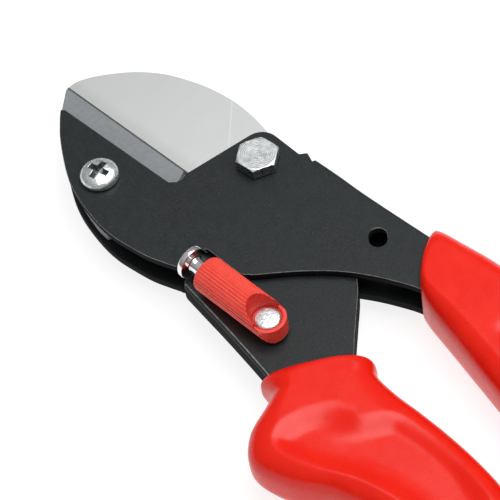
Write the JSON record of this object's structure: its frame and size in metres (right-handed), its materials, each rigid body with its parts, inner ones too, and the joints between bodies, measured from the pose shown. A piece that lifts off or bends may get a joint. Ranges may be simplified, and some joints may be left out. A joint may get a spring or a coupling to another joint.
{
  "type": "anvil pruner",
  "caption": "Hand pruner whose half-moon blade closes on a plastic anvil, with folded steel levers, dipped grips and a swinging latch.",
  "frame": {"origin": "under the middle of the tool's bounding box, at the level of its lowest point, the rear ends of its two bolts", "axes": "+X along the tool from the jaws to the grips, +Y from the blade lever's grip to the anvil lever's grip, +Z square to the plates, towards the bolt head and the latch"},
  "size_m": [0.2021, 0.0825, 0.0232],
  "materials": {
    "black_paint": "satin black powder coat",
    "blade_steel": "fine ground steel",
    "anvil_plastic": "matte grey moulding",
    "zinc_plate": "bright zinc plate",
    "chrome_plate": "polished chrome",
    "spring_steel": "drawn steel",
    "red_pvc": "glossy dipped coating",
    "latch_plastic": "ribbed moulding, half gloss",
    "black_nylon": "matte moulding"
  },
  "bodies": {
    "anvil_side": {"anvil_lever": "black_paint", "anvil": "anvil_plastic", "anvil_screw": "zinc_plate", "anvil_washer": "zinc_plate", "anvil_nut": "zinc_plate", "pivot_bolt": "zinc_plate", "pivot_bush": "spring_steel", "pivot_washer": "zinc_plate", "pivot_nut": "zinc_plate", "spring_seat_upper": "black_nylon", "return_spring": "spring_steel", "grip_upper": "red_pvc"},
    "blade_side": {"blade_lever": "black_paint", "blade": "blade_steel", "blade_rivet_1": "zinc_plate", "blade_rivet_2": "zinc_plate", "spring_seat_lower": "black_nylon", "latch_rivet": "zinc_plate", "latch_washer": "zinc_plate", "grip_lower": "red_pvc"},
    "latch": {"latch_sleeve": "latch_plastic", "latch_pin": "chrome_plate"}
  },
  "joints": [
    {"name": "handle_open", "type": "hinge", "parent": "anvil_side", "child": "blade_side", "pos_m": [-0.04456, 0.00548, 0.0104], "axis": [0, 0, -1], "range_deg": [0, 24], "deforming": ["return_spring"]},
    {"name": "latch_swing", "type": "hinge", "parent": "blade_side", "child": "latch", "pos_m": [0.00014, -0.01872, 0.0187], "axis": [0, 0, 1], "range_deg": [0, 58]}
  ],
  "couplings": [
    {"joint": "latch_swing", "follows": "handle_open", "ratio": 2.4}
  ]
}
